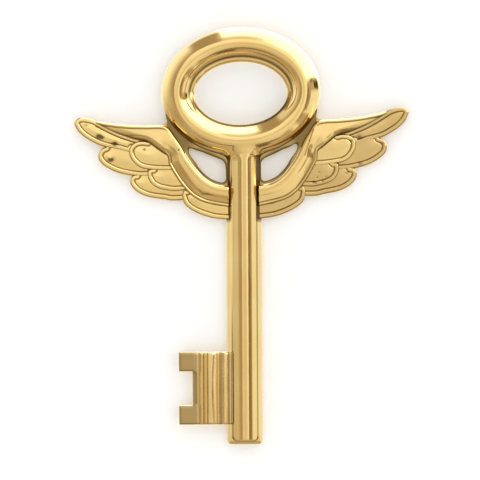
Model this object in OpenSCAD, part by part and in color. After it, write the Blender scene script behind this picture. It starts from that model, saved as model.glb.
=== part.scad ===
// Decorative winged key: an oval bow, a round-faced shank, a two-pronged bit and a
// pair of spread wings, all cast in brass and screwed together from the back.
// The key hangs upright: +X is the viewer's right, +Z is up and the face looks
// along -Y. The origin is the centre of the keyhole hanger's round hole.

/* [Bow] */
// Outside width of the oval bow
bow_w = 106.6; // [98:0.2:116]
// Outside height of the oval bow
bow_h = 86.6; // [80:0.2:94]
// Width of the eye through the bow
eye_w = 62.2; // [56:0.2:66]
// Height of the eye through the bow
eye_h = 42.8; // [38:0.2:46]
// How far the eye's centre sits below the bow's centre
eye_drop = 1; // [0:0.1:2]
// Height of the bow's crest above the back
bow_crest = 15; // [13:0.5:18]
// Height of the upright wall around the bow
bow_wall = 1.2; // [0.8:0.1:2]
// Height above the back at which the bow's face drops to the eye's lip
eye_step = 6.5; // [5:0.1:8]
// Width of the low lip around the eye
eye_lip = 3; // [2:0.1:4]
// Height of that lip above the back
lip_t = 2.9; // [2.6:0.1:4]
// How far the bow and wings lean to the left of square, in degrees
head_tilt = 1.6; // [0:0.1:3]

/* [Shank] */
// Width of the shank with its low flanges
shank_w = 23.4; // [21:0.2:26]
// Height of the shank's crest above the back
shank_t = 13; // [12:0.2:15]
// Radius of the shank's round face
crown_r = 10; // [9.6:0.1:11]
// Width of the shank's round face
crown_w = 17.6; // [16:0.2:18.4]
// Height of the flanges where they meet the round face
flange_t = 6.8; // [5.6:0.1:7]
// Height of the flanges' outer edges
flange_edge = 3.4; // [2.6:0.1:4]
// Length of the shank below the bow
shank_len = 192; // [150:1:230]
// How far the shank's end runs up into the bow
neck_lap = 5.6; // [4:0.2:8]
// Radius of the fillets between the shank and the bow
neck_r = 5; // [3:0.5:7]
// Height of those fillets above the back
neck_t = 8; // [5:0.5:10]
// Radius of the corners at the shank's foot
foot_r = 3; // [1:0.2:4]

/* [Wings] */
// Distance from the centreline to a wing's tip
wing_reach = 112; // [104:1:124]
// Drop from the bow's centre to the lowest feather edge
wing_fall = 85.2; // [82:0.2:92]
// Height of the arm's crest above the back
arm_crest = 10.5; // [9.5:0.1:12]
// Height of the crescent's crest above the back
crescent_crest = 11; // [9.5:0.1:12]
// Height of the wing arm's edges above the back
arm_edge = 7.4; // [7:0.1:8]
// Height of the coverts above the back
covert_t = 6.4; // [6:0.1:6.8]
// Height of the flight feathers above the back
feather_t = 5.2; // [4.8:0.1:5.6]
// Height of the rounded rim along each feather's free edge
rim_rise = 0.6; // [0.3:0.1:1]

/* [Bit] */
// Reach of the bit beyond the shank's side
bit_reach = 32; // [26:0.5:40]
// Height of the bit along the shank
bit_h = 48; // [40:0.5:60]
// Distance from the shank's foot up to the bit
bit_foot = 13.6; // [8:0.2:30]
// Height of the bit's back above the back of the key
bit_back = 2.6; // [2:0.2:3.4]
// Thickness of the bit's plate
bit_t = 6.4; // [5.6:0.2:7]
// Depth of the notch between the two prongs
notch_depth = 9; // [6:0.2:10]
// Height of the notch between the two prongs
notch_h = 23; // [16:0.5:28]
// Width of the mouldings on the bit's face
moulding_w = 1.8; // [1.2:0.1:2.4]
// Height that the mouldings stand proud
moulding_rise = 1.2; // [0.9:0.1:1.5]

/* [Joints] */
// Thickness of the wings' backing plates and of the hanger plate
plate_t = 2; // [1.6:0.1:2.4]
// Gap around a piece in the recess that it lies in
seat_gap = 0.1; // [0.05:0.05:0.2]
// Radius of the screws that hold the feathers and arms
feather_screw_r = 1.25; // [1:0.05:1.5]
// Radius of the screws that hold the plates to the bow and the shank
plate_screw_r = 1.6; // [1.3:0.1:2]
// Radius of the threaded stud between the bow and the shank
stud_r = 2.8; // [2:0.1:3.4]
// Radius of the two pins through the bit's tongue
bit_pin_r = 1.2; // [1:0.1:1.5]

/* [Hanger] */
// Radius of the keyhole's round hole
keyhole_r = 3.5; // [3:0.1:3.6]
// Radius of the keyhole's slot
key_slot_r = 1.75; // [1.4:0.05:1.75]
// Length of the slot above the round hole's centre
key_slot_rise = 6.2; // [5:0.1:6.4]
// Width of the hanger plate
hanger_w = 36; // [32:1:38]
// Height of the hanger plate
hanger_h = 15; // [14:0.1:15.4]

/* [Hidden] */
$fn = 64;

gold = [0.86, 0.71, 0.40];
deep_gold = [0.80, 0.64, 0.33];
pale_gold = [0.91, 0.79, 0.50];
steel = [0.70, 0.70, 0.70];
through = 40;

// The hanger's hole lies this far above its plate's lower edge
keyhole_wall = 1.3;
keyhole_lift = keyhole_r + keyhole_wall;
band_top = (bow_h + eye_h) / 4 - eye_drop / 2;
hang_y = band_top - hanger_h / 2 + keyhole_lift;

// The shank's axis meets the leaning bow's axis this far below the hanger
lean_drop = 90;
shank_x = lean_drop * sin(head_tilt);
shank_top = neck_lap - hang_y - bow_h / 2;
shank_foot = -hang_y - bow_h / 2 - shank_len;
bit_bottom = shank_foot + bit_foot;
bit_right = shank_x - shank_w / 2;

// Turns pieces that are drawn flat with their face up to hang on the wall
module stand() {
    rotate([90, 0, 0])
        children();
}

// Puts a piece drawn about the bow's centre where the bow hangs
module head() {
    rotate([0, 0, head_tilt])
        translate([0, -hang_y, 0])
            children();
}

// One wing's pieces are drawn on the right, and mirrored for the left
module wing_side(side) {
    head()
        mirror([side < 0 ? 1 : 0, 0, 0])
            children();
}

// Smooth curve through points of any dimension, as a list of points
function curve_at(p, i, t) =
    let (
        a = p[max(i - 1, 0)],
        b = p[i],
        c = p[i + 1],
        d = p[min(i + 2, len(p) - 1)]
    )
    0.5 * (2 * b + (c - a) * t + (2 * a - 5 * b + 4 * c - d) * t * t
        + (3 * b - a - 3 * c + d) * t * t * t);
function curve(p, steps) = concat(
    [for (i = [0:len(p) - 2]) for (k = [0:steps - 1]) curve_at(p, i, k / steps)],
    [p[len(p) - 1]]);
function mix(a, b, t) = a + (b - a) * t;
function ease(t) = let (u = min(max(t, 0), 1)) u * u * (3 - 2 * u);

// Solid skinned over a row of closed sections with equal numbers of points
module loft(rings) {
    n = len(rings);
    m = len(rings[0]);
    points = [for (ring = rings) each ring];
    sides = [for (i = [0:n - 2]) for (j = [0:m - 1]) let (k = (j + 1) % m) each [
        [i * m + j, i * m + k, (i + 1) * m + k],
        [i * m + j, (i + 1) * m + k, (i + 1) * m + j]]];
    first = [[for (j = [m - 1:-1:0]) j]];
    last = [[for (j = [0:m - 1]) (n - 1) * m + j]];
    polyhedron(points, concat(sides, first, last), convexity = 8);
}

// Countersunk screw from the back, and the hole that it fills
module screw(r, reach) {
    head_h = r;
    cylinder(h = head_h, r1 = 2 * r, r2 = r);
    cylinder(h = reach, r = r);
}

// Oval bow: its face rises from a low wall to the crest, falls to a step and ends
// in a low lip around the eye. Both slopes are quarters of an oval.
bow_sides = 96;
bow_steps = 8;
crest_place = 0.495;
step_run = 0.7;
lip_fall = 1.6;

function oval(w, h, drop) =
    [for (i = [0:bow_sides - 1]) let (a = 360 * i / bow_sides)
        [w / 2 * cos(a), h / 2 * sin(a) - drop]];

// The section's points: place across the band and height above the back
band_w = (bow_w - eye_w) / 2;
lip_place = 1 - eye_lip / band_w;
step_place = lip_place - step_run / band_w;
function bow_section() = concat(
    [for (k = [0:bow_steps]) let (a = 90 * k / bow_steps)
        [crest_place * (1 - cos(a)), mix(bow_wall, bow_crest, sin(a))]],
    [for (k = [1:bow_steps]) let (a = 90 * k / bow_steps)
        [mix(crest_place, step_place, sin(a)), mix(eye_step, bow_crest, cos(a))]],
    [[lip_place, lip_t], [(lip_place + 1) / 2, lip_t], [1, lip_t - lip_fall]]);

module bow_outline() {
    polygon(oval(bow_w, bow_h, 0));
}

module bow_solid() {
    outer = oval(bow_w, bow_h, 0);
    inner = oval(eye_w, eye_h, eye_drop);
    section = concat([[0, 0]], bow_section(), [[1, 0]]);
    m = len(section);
    points = [for (i = [0:bow_sides - 1]) for (s = section)
        let (p = mix(outer[i], inner[i], s[0])) [p[0], p[1], s[1]]];
    faces = [for (i = [0:bow_sides - 1]) for (j = [0:m - 1])
        let (k = (j + 1) % m, n = (i + 1) % bow_sides) each [
            [i * m + j, i * m + k, n * m + k],
            [i * m + j, n * m + k, n * m + j]]];
    polyhedron(points, faces, convexity = 6);
}

module bow_ring() {
    color(gold) stand() difference() {
        head()
            bow_solid();
        shank_bar();
        stud_body(0);
        hanger_recess();
        for (side = [-1, 1])
            wing_side(side) {
                linear_extrude(plate_t)
                    plate_ear(seat_gap);
                bow_screw_place()
                    cylinder(h = plate_screw_reach + end_gap, r = plate_screw_r);
            }
    }
}

// Shank: a round-faced bar on a bevelled flange that shows along its sides and its foot
crown_y = shank_t - crown_r;
flange_w = (shank_w - crown_w) / 2;

module crown_profile() {
    intersection() {
        translate([0, crown_y])
            circle(crown_r);
        translate([-crown_w / 2, 0])
            square([crown_w, shank_t]);
    }
}

module flange_profile() {
    half_w = shank_w / 2;
    polygon([[-half_w, 0], [half_w, 0], [half_w, flange_edge], [crown_w / 2, flange_t],
        [-crown_w / 2, flange_t], [-half_w, flange_edge]]);
}

module shank_bar() {
    translate([shank_x, shank_top, 0])
        rotate([90, 0, 0]) {
            linear_extrude(shank_top - shank_foot - flange_w)
                crown_profile();
            linear_extrude(shank_top - shank_foot)
                flange_profile();
        }
}

// Outline of a fillet that spreads from the shank's side towards the bow
module fillet_shape(side) {
    spread = shank_w / 2 + neck_r;
    under_bow = bow_h / 2 * sqrt(1 - pow(spread / (bow_w / 2), 2));
    fillet_foot = -hang_y - under_bow - neck_r;
    difference() {
        translate([shank_x + side * spread / 2 - spread / 2, fillet_foot])
            square([spread, shank_top - fillet_foot]);
        translate([shank_x + side * spread, fillet_foot])
            circle(neck_r);
    }
}

module neck_fillets() {
    for (side = [-1, 1])
        linear_extrude(neck_t)
            difference() {
                fillet_shape(side);
                head()
                    bow_outline();
            }
}

// Room that a wing's web leaves for the fillets
module neck_room() {
    for (side = [-1, 1])
        linear_extrude(neck_t)
            fillet_shape(side);
}

// Outline of the shank with its rounded foot, seen from the face
module shank_outline() {
    translate([shank_x - shank_w / 2, shank_foot + foot_r])
        square([shank_w, shank_top - shank_foot - foot_r]);
    translate([shank_x - shank_w / 2 + foot_r, shank_foot])
        square([shank_w - 2 * foot_r, foot_r]);
    for (side = [-1, 1])
        translate([shank_x + side * (shank_w / 2 - foot_r), shank_foot + foot_r])
            circle(foot_r);
}

module shank() {
    color(gold) stand() difference() {
        union() {
            intersection() {
                shank_bar();
                linear_extrude(shank_t)
                    shank_outline();
            }
            neck_fillets();
        }
        tab_recess();
        bit_tongue(seat_gap);
        stud_body(0);
        bit_pin_row(end_gap);
        for (side = [-1, 1])
            wing_side(side)
                tab_screw_place()
                    cylinder(h = plate_screw_reach + end_gap, r = plate_screw_r);
    }
}

// Threaded stud along the shank's axis, half in the shank and half in the bow
stud_h = 6.6;
stud_in_shank = 14;
stud_in_bow = 7.5;
end_gap = 0.3;

module stud_body(shorten) {
    translate([shank_x, shank_top + stud_in_bow - shorten, stud_h])
        rotate([90, 0, 0])
            cylinder(h = stud_in_bow + stud_in_shank - 2 * shorten, r = stud_r);
}

module bow_stud() {
    color(steel) stand() stud_body(end_gap);
}

// Bit: a plate with a notch and three mouldings, whose end is shaped to fit the
// shank's round face, and a tongue let into the shank
cope_lap = 0.7;
crown_at_face = sqrt(pow(crown_r, 2) - pow(bit_back + bit_t - crown_y, 2));
bit_cope = shank_w / 2 - crown_at_face + cope_lap;
tongue_depth = 8.4;
tongue_root = 2;
pin_inset = 6.2;
tongue_inset = 3;
tongue_wall = 1.6;
pin_spread = 0.32;
pin_wall = 0.8;
moulding_places = [0.47, 0.565, 0.79];

module bit_tongue(gap) {
    translate([bit_right - tongue_root, bit_bottom + tongue_inset - gap, bit_back + tongue_wall - gap])
        cube([tongue_root + tongue_depth + gap, bit_h - 2 * tongue_inset + 2 * gap,
            bit_t - 2 * tongue_wall + 2 * gap]);
}

module bit_pin_row(lengthen) {
    for (side = [-1, 1])
        translate([bit_right + pin_inset, bit_bottom + bit_h * (0.5 + side * pin_spread), 0])
            cylinder(h = bit_back + bit_t - pin_wall + lengthen, r = bit_pin_r);
}

// Round-topped moulding that runs up the bit's face
module moulding() {
    shoulder = moulding_rise - moulding_w / 2;
    translate([0, bit_h, 0])
        rotate([90, 0, 0])
            linear_extrude(bit_h) {
                translate([-moulding_w / 2, -moulding_w / 2])
                    square([moulding_w, moulding_w / 2 + shoulder]);
                translate([0, shoulder])
                    circle(moulding_w / 2);
            }
}

module bit() {
    left = bit_right - bit_reach;
    color(deep_gold) stand() difference() {
        union() {
            difference() {
                translate([left, bit_bottom, bit_back])
                    cube([bit_reach + bit_cope, bit_h, bit_t]);
                shank_bar();
            }
            bit_tongue(0);
            for (place = moulding_places)
                translate([left + bit_reach * place, bit_bottom, bit_back + bit_t])
                    moulding();
        }
        translate([left - notch_depth, bit_bottom + (bit_h - notch_h) / 2, 0])
            cube([2 * notch_depth, notch_h, through]);
        bit_pin_row(end_gap);
    }
}

module bit_pins() {
    color(steel) stand() bit_pin_row(0);
}

// Wing outlines, drawn for the right wing in millimetres about the bow's centre.
// Each row goes across a piece: a point on its upper or inner edge, then the
// facing point on its lower or outer edge. Edges that lie under a neighbour run
// about a millimetre too far, and the neighbour's outline trims them.
drawn_root = 11.7;
drawn_reach = 112;
drawn_fall = 85.2;
edge_steps = 3;

arm_rows = [
    [97, -16.2, 97.5, -17.2], [87, -18.3, 85, -24], [75.3, -19.8, 73, -28.8],
    [63.5, -20.5, 64, -31.2], [54.5, -20.7, 58, -35.5], [48.8, -22.5, 53.5, -39],
    [44.6, -28.3, 50.3, -41.5], [40.4, -34.5, 49.4, -47], [36.2, -42.8, 46, -53.6],
    [31, -50.4, 41, -61.4], [25, -57, 34.5, -68.5], [18, -61, 25.5, -73.4],
    [8, -62.8, 8, -77.2], [4, -63.3, 4, -78.2]];
upper_covert_rows = [
    [49, -40.2, 48, -51], [53.6, -37.8, 54.5, -50.8], [58.2, -34.2, 60.8, -50.2],
    [63.8, -30.9, 66.8, -49.1], [68.5, -30.6, 71, -46.7], [72.2, -31.6, 74.2, -43],
    [74.9, -34.2, 75.7, -39.4], [75.8, -36.2, 76, -37.6]];
lower_covert_rows = [
    [45.6, -51.3, 38.8, -64.4], [50.8, -50, 46, -64.9], [55.4, -49.7, 51.6, -64.1],
    [60, -49.3, 57.2, -62.5], [63.2, -50, 61.4, -59.6], [64.1, -51.8, 63.8, -56.2]];
primary_rows = [
    [67.5, -29.6, 71, -32.6], [72.5, -27.9, 74, -35.8], [76, -26.6, 75.3, -37.9],
    [81, -24.7, 83.5, -35.7], [86.6, -22, 89.5, -34.4], [92.5, -18.7, 95, -32.7],
    [98, -15.6, 100.2, -30], [102.5, -14.1, 105.3, -26.7], [106.5, -13.6, 109.2, -22.8],
    [109.7, -14.3, 111.4, -19.2], [111.3, -15.9, 112, -17.6]];
second_rows = [
    [64.2, -48.6, 63.4, -54.3], [68, -47.2, 70, -54.1], [71, -45.2, 75, -53.4],
    [73.6, -41.8, 80, -52.3], [75.5, -37.2, 84.5, -50.9], [81, -35, 88.5, -49],
    [86, -34.2, 92, -46.8], [90.6, -33.6, 94.8, -44.3], [94.3, -34.9, 96.3, -41.9],
    [96, -36.9, 96.8, -39.8]];
third_rows = [
    [39.5, -64.2, 39.5, -70.8], [46, -63.8, 48, -71], [51.6, -63, 54, -69.8],
    [56.9, -61.4, 60, -68.9], [60.8, -58.6, 65.5, -67.5], [63, -54.4, 70, -65.3],
    [69, -53.2, 73.3, -62.6], [73.4, -53, 75.4, -59.9], [75.4, -54.4, 76, -57.3]];
lowest_rows = [
    [8, -76, 8, -85.2], [19, -75.3, 19, -84.1], [25.5, -72.4, 26, -82.2],
    [30.3, -70, 32.2, -79.6], [34.3, -67.4, 37, -76.6], [37.3, -64.8, 40, -73.3],
    [39.6, -63.6, 41.4, -70], [41, -65.6, 41.6, -68]];

// Half width and half height of the bow that the wings are drawn against. Where the
// bow differs from it, the pieces beside the bow move with the bow's outline, and
// the wing's tip and lowest edge stay where they are.
drawn_bow = [53.3, 43.3];
bow_beside = [45, 58];
bow_below = -60;
function with_bow_x(x) = (bow_w / 2 - drawn_bow[0])
    * ease((x - drawn_root) / (bow_beside[0] - drawn_root))
    * ease((drawn_reach - x) / (drawn_reach - bow_beside[1]));
function with_bow_y(y) = (drawn_bow[1] - bow_h / 2) * ease((y + drawn_fall) / (bow_below + drawn_fall));
function stretch_x(x) =
    drawn_root + (x - drawn_root) * (wing_reach - drawn_root) / (drawn_reach - drawn_root)
    + with_bow_x(x);
function stretch_y(y) = y * wing_fall / drawn_fall + with_bow_y(y);
function place_row(row) = [stretch_x(row[0]), stretch_y(row[1]), stretch_x(row[2]), stretch_y(row[3])];
function wing_rows(rows) = curve([for (row = rows) place_row(row)], edge_steps);

// Upright prism over a piece's whole outline, which trims what lies under it
module over(rows) {
    smooth = wing_rows(rows);
    last = len(smooth) - 1;
    linear_extrude(through)
        polygon(concat(
            [for (row = smooth) [row[0], row[1]]],
            [for (i = [last:-1:0]) [smooth[i][2], smooth[i][3]]]));
}

// Section across a piece: shares of the way over and heights, then the back
function section_ring(row, shares, heights) =
    let (
        a = [row[0], row[1]],
        b = [row[2], row[3]],
        face = [for (k = [0:len(shares) - 1]) let (p = mix(a, b, shares[k])) [p[0], p[1], heights[k]]]
    )
    concat([[a[0], a[1], plate_t]], face, [[b[0], b[1], plate_t]]);

// Arm and crescent: a rounded crest that is lowest at the wing's outer end
arm_shares = [0, 0.07, 0.2, 0.4, 0.6, 0.8, 0.93, 1];
arm_taper = 0.3;
arm_tip_rise = 0.5;
arm_roundness = 0.6;
crescent_starts = 0.25;
crescent_full = 0.75;
function arm_heights(s) =
    let (turned = ease((s - crescent_starts) / (crescent_full - crescent_starts)))
    let (top = mix(arm_edge + arm_tip_rise, mix(arm_crest, crescent_crest, turned), ease(s / arm_taper)))
    [for (v = arm_shares) arm_edge + (top - arm_edge) * pow(sin(180 * v), arm_roundness)];

module arm_strip() {
    smooth = wing_rows(arm_rows);
    last = len(smooth) - 1;
    loft([for (i = [0:last]) section_ring(smooth[i], arm_shares, arm_heights(i / last))]);
}

// Low web between the arm, the bow and the shank, with a window through it
web_t = 4.6;
web_outline = [
    [44, -12], [50.9, -13.3], [49.8, -17.8], [50, -22.5], [47.5, -28.5], [44, -35], [40, -44],
    [34, -53], [27, -60], [18, -64], [10, -65], [10, -36], [30, -28]];
window_outline = [
    [12.3, -51], [12.7, -47.6], [14.4, -45.4], [17, -44.2], [20, -43], [23, -41.7], [26.5, -40],
    [31, -38.2], [34, -37.6], [34.8, -39.4], [33.4, -42.5], [31, -46.4], [29, -49.6],
    [26.8, -52.3], [24.4, -54.8], [21.8, -56.9], [18.6, -58.5], [15.2, -59.6], [12.9, -59],
    [12.2, -56.5]];
window_steps = 2;

function place(points) = [for (p = points) [stretch_x(p[0]), stretch_y(p[1])]];

module arm_web() {
    translate([0, 0, plate_t])
        linear_extrude(web_t - plate_t)
            difference() {
                polygon(place(web_outline));
                polygon(place(curve(concat(window_outline, [window_outline[0]]), window_steps)));
            }
}

module wing_arm(side) {
    color(gold) stand() difference() {
        wing_side(side)
            difference() {
                union() {
                    arm_strip();
                    arm_web();
                }
                linear_extrude(through)
                    bow_outline();
                screw_holes(arm_screws);
            }
        shank_bar();
        neck_room();
    }
}

// Feather: flat over most of its width, with a rounded rim at its free edge
rim_w = 0.9;
groove_w = 2.2;
rim_least = 0.8;
groove_least = 0.55;
swell_place = 0.35;
function feather_ring(row, t) =
    let (
        span = norm([row[2] - row[0], row[3] - row[1]]),
        rim = max(1 - rim_w / span, rim_least),
        groove = max(1 - groove_w / span, groove_least)
    )
    section_ring(row, [0, swell_place, groove, rim, 1],
        [t, t + rim_rise / 2, t, t + rim_rise, t - rim_rise]);

module feather_body(rows, t) {
    loft([for (row = wing_rows(rows)) feather_ring(row, t)]);
}

// One feather with its screw holes, trimmed by the pieces that lap over it
module feather(side, rows, t, holes, shade) {
    color(shade) stand() difference() {
        wing_side(side)
            difference() {
                feather_body(rows, t);
                over(arm_rows);
                children();
                screw_holes(holes);
            }
        shank_bar();
    }
}

module upper_covert(side) {
    feather(side, upper_covert_rows, covert_t, upper_covert_screws, pale_gold);
}

module lower_covert(side) {
    feather(side, lower_covert_rows, covert_t, lower_covert_screws, pale_gold)
        over(upper_covert_rows);
}

module lowest_feather(side) {
    feather(side, lowest_rows, feather_t, lowest_screws, pale_gold)
        over(lower_covert_rows);
}

module primary_feather(side) {
    feather(side, primary_rows, feather_t, primary_screws, pale_gold)
        over(upper_covert_rows);
}

module second_feather(side) {
    feather(side, second_rows, feather_t, second_screws, pale_gold) {
        over(upper_covert_rows);
        over(lower_covert_rows);
        over(primary_rows);
    }
}

module third_feather(side) {
    feather(side, third_rows, feather_t, third_screws, pale_gold) {
        over(lower_covert_rows);
        over(lowest_rows);
        over(second_rows);
    }
}

// Places of the screws in each piece of the wing
arm_screws = [[57, -28.5], [74, -25.6], [36.8, -55.6], [22.5, -67.5]];
upper_covert_screws = [[61, -42]];
lower_covert_screws = [[52, -57.5]];
primary_screws = [[86.5, -28.5], [101, -21]];
second_screws = [[83, -43.5]];
third_screws = [[66, -60.5]];
lowest_screws = [[29.6, -74.2]];
wing_screw_places = concat(arm_screws, upper_covert_screws, lower_covert_screws, primary_screws,
    second_screws, third_screws, lowest_screws);
screw_wall = 0.8;
screw_reach = feather_t - screw_wall - end_gap;

module screw_holes(places) {
    for (p = places)
        translate([stretch_x(p[0]), stretch_y(p[1]), 0])
            cylinder(h = screw_reach + end_gap, r = feather_screw_r);
}

module wing_screws(side) {
    color(steel) stand() wing_side(side)
        for (p = wing_screw_places)
            translate([stretch_x(p[0]), stretch_y(p[1]), 0])
                screw(feather_screw_r, screw_reach);
}

// Backing plate of a wing, with a tab behind the shank and an ear behind the bow
plate_screw_grip = 4;
plate_screw_reach = plate_t + plate_screw_grip;
tab_top = -66;
tab_foot = -82;
tab_reach = 2;
plate_foot_x = 15;
tab_screw_x = 6;
ear_angle = 30;
ear_r = 5;
ear_x = (bow_w + eye_w) / 4 * cos(ear_angle);
ear_y = -(bow_h + eye_h) / 4 * sin(ear_angle) - eye_drop / 2;
ear_root = [54, -26.5];
plate_outline = [
    [18, -65], [26, -61], [32.5, -54.5], [38, -46], [43, -37], [48.5, -28.5], [52, -23.5],
    [75, -22.6], [88, -21], [98, -18.5], [106, -16.5], [108.5, -18.5], [104, -24.8], [95, -29.8],
    [86.5, -32.8], [88, -37.5], [93, -38], [91.5, -42.5], [83.5, -48], [73, -50.6], [72.6, -57],
    [68.5, -62.3], [58, -66.4], [44, -68.4], [38, -71.5], [32.5, -76.3], [24, -80]];

// The ear's outline, widened by the gap that its recess needs
module plate_ear(gap) {
    root = [stretch_x(ear_root[0]), stretch_y(ear_root[1])];
    reach = root - [ear_x, ear_y];
    turn = atan2(reach[1], reach[0]);
    translate([ear_x, ear_y]) {
        circle(ear_r + gap);
        rotate(turn)
            translate([0, -ear_r - gap])
                square([norm(reach), 2 * (ear_r + gap)]);
    }
}

module bow_screw_place() {
    translate([ear_x, ear_y, 0])
        children();
}

module tab_screw_place() {
    translate([tab_screw_x, stretch_y((tab_top + tab_foot) / 2), 0])
        children();
}

// Recess across the back of the shank for the two plates' tabs
module tab_recess() {
    wide = shank_w + 2 * neck_r;
    head()
        translate([-wide / 2, stretch_y(tab_foot) - seat_gap, 0])
            cube([wide, stretch_y(tab_top) - stretch_y(tab_foot) + 2 * seat_gap, plate_t]);
}

module wing_plate(side) {
    color(deep_gold) stand() wing_side(side)
        difference() {
            union() {
                linear_extrude(plate_t)
                    polygon(concat(
                        [[tab_reach, stretch_y(tab_foot)], [tab_reach, stretch_y(tab_top)]],
                        [for (p = plate_outline) [stretch_x(p[0]), stretch_y(p[1])]],
                        [[stretch_x(plate_foot_x), stretch_y(tab_foot)]]));
                linear_extrude(plate_t)
                    plate_ear(0);
            }
            for (p = wing_screw_places)
                translate([stretch_x(p[0]), stretch_y(p[1]), 0])
                    screw(feather_screw_r, through);
            bow_screw_place()
                screw(plate_screw_r, through);
            tab_screw_place()
                screw(plate_screw_r, through);
        }
}

module plate_screws() {
    color(steel) stand()
        for (side = [-1, 1])
            wing_side(side) {
                bow_screw_place()
                    screw(plate_screw_r, plate_screw_reach);
                tab_screw_place()
                    screw(plate_screw_r, plate_screw_reach);
            }
}

// Keyhole hanger let into the back of the bow's top
hanger_corner = 5;
hanger_screw_inset = 5;
hanger_screw_x = hanger_w / 2 - hanger_screw_inset;
hanger_screw_r = 1.3;
hanger_screw_grip = 4;
hanger_screw_reach = plate_t + hanger_screw_grip;
head_room = 0.8;
pocket_depth = 4;

module hanger_outline(gap) {
    half_w = hanger_w / 2 - hanger_corner;
    half_h = hanger_h / 2 - hanger_corner;
    r = hanger_corner + gap;
    translate([0, band_top]) {
        for (x = [-half_w, half_w])
            for (y = [-half_h, half_h])
                translate([x, y])
                    circle(r);
        square([2 * half_w, 2 * (half_h + r)], center = true);
        square([2 * (half_w + r), 2 * half_h], center = true);
    }
}

// Straight slot with round ends above the keyhole's centre
module slot_shape(r) {
    for (y = [0, key_slot_rise])
        translate([0, hang_y + y])
            circle(r);
    translate([-r, hang_y])
        square([2 * r, key_slot_rise]);
}

module hanger_screw_places() {
    for (side = [-1, 1])
        translate([side * hanger_screw_x, band_top, 0])
            children();
}

module hanger_recess() {
    head() {
        linear_extrude(plate_t)
            hanger_outline(seat_gap);
        linear_extrude(plate_t + pocket_depth)
            slot_shape(keyhole_r + head_room);
        hanger_screw_places()
            cylinder(h = hanger_screw_reach + end_gap, r = hanger_screw_r);
    }
}

module hanger_plate() {
    color(deep_gold) stand() head()
        difference() {
            linear_extrude(plate_t)
                hanger_outline(0);
            translate([0, hang_y, 0])
                cylinder(h = through, r = keyhole_r, center = true);
            linear_extrude(through, center = true)
                slot_shape(key_slot_r);
            hanger_screw_places()
                screw(hanger_screw_r, through);
        }
}

module hanger_screws() {
    color(steel) stand() head()
        hanger_screw_places()
            screw(hanger_screw_r, hanger_screw_reach);
}

bow_ring();
shank();
bow_stud();
bit();
bit_pins();
hanger_plate();
hanger_screws();
plate_screws();
wing_arm(-1);  // left_wing_arm
upper_covert(-1);  // left_upper_covert
lower_covert(-1);  // left_lower_covert
primary_feather(-1);  // left_primary_feather
second_feather(-1);  // left_second_feather
third_feather(-1);  // left_third_feather
lowest_feather(-1);  // left_lowest_feather
wing_plate(-1);  // left_wing_plate
wing_screws(-1);  // left_wing_screws
wing_arm(1);  // right_wing_arm
upper_covert(1);  // right_upper_covert
lower_covert(1);  // right_lower_covert
primary_feather(1);  // right_primary_feather
second_feather(1);  // right_second_feather
third_feather(1);  // right_third_feather
lowest_feather(1);  // right_lowest_feather
wing_plate(1);  // right_wing_plate
wing_screws(1);  // right_wing_screws
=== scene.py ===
"""Looks of the decorative winged key: polished brass castings on a white wall.

The key hangs upright: +X is the viewer's right, +Z is up and the face looks along -Y. Castings are drawn
flat, in millimetres: x to the right, y up, and h the height above the key's back. The bow and wings are drawn
about the bow's centre and lean with it. The shank and the bit are drawn from the shank's axis.
"""

import math

import bpy
import numpy as np
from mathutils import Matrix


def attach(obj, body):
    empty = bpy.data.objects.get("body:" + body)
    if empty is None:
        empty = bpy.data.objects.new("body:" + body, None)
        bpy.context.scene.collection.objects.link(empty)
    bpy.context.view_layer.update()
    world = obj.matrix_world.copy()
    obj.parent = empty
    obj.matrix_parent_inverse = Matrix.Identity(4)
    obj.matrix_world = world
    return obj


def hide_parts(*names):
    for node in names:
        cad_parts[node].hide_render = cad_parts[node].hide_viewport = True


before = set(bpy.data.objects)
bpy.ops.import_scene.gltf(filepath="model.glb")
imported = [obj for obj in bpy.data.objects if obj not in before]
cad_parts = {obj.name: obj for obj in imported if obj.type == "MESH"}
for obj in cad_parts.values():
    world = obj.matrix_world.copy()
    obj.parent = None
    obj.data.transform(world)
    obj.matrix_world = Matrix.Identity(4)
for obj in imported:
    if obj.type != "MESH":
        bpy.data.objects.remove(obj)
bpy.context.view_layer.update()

MM = 0.001
# The bow and wings lean to the left about the hanger's hole, which lies this far above the bow's centre
LEAN = math.radians(1.6)
HANG = 29.15
# Thickness of the plates in the back, and the clearance round what is let in
PLATE = 2.0
SEAT = 0.1

# Bow: half sizes of its outside and of its eye, the eye's drop, and its section: heights at shares of the way from
# its outside to its eye
BOW_A, BOW_B = 53.3, 43.3
EYE_A, EYE_B = 31.1, 21.4
EYE_DROP = 1.0
CREST = 15.0
CREST_PLACE = 0.495
OUTER_WALL = 1.2
STEP_PLACE, STEP_TOP = 0.833, 6.5
LIP = [(0.833, 6.5), (0.836, 5.2), (0.846, 4.0), (0.862, 3.2), (0.885, 2.9), (0.92, 2.9), (0.94, 2.75),
       (0.955, 2.6), (0.968, 2.3), (0.98, 1.9), (0.99, 1.3), (0.995, 0.9), (1.0, 0.3)]
# Along the bottom the oval from the crest ends at this share of the way to the eye, and then the face falls
# straight, at so much for the whole way
STRAIGHT_FROM, STRAIGHT_FALL = 0.52, 8.2

# What is let into the bow's back: the hanger plate, from its middle to its corners' centres and with their radius,
# the pocket behind its slot, and the wing plates' ears, by the ends of their middle line and their radius
HANGER_HALF_W, HANGER_HALF_H, HANGER_CORNER = 13, 2.5, 5
SLOT_LENGTH, POCKET_R, POCKET_DEPTH = 6.2, 4.3, 4
EAR_INNER, EAR_OUTER, EAR_R = (36.55, -16.68), (56, -27.6), 5
CUT_FROM = -3

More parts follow.
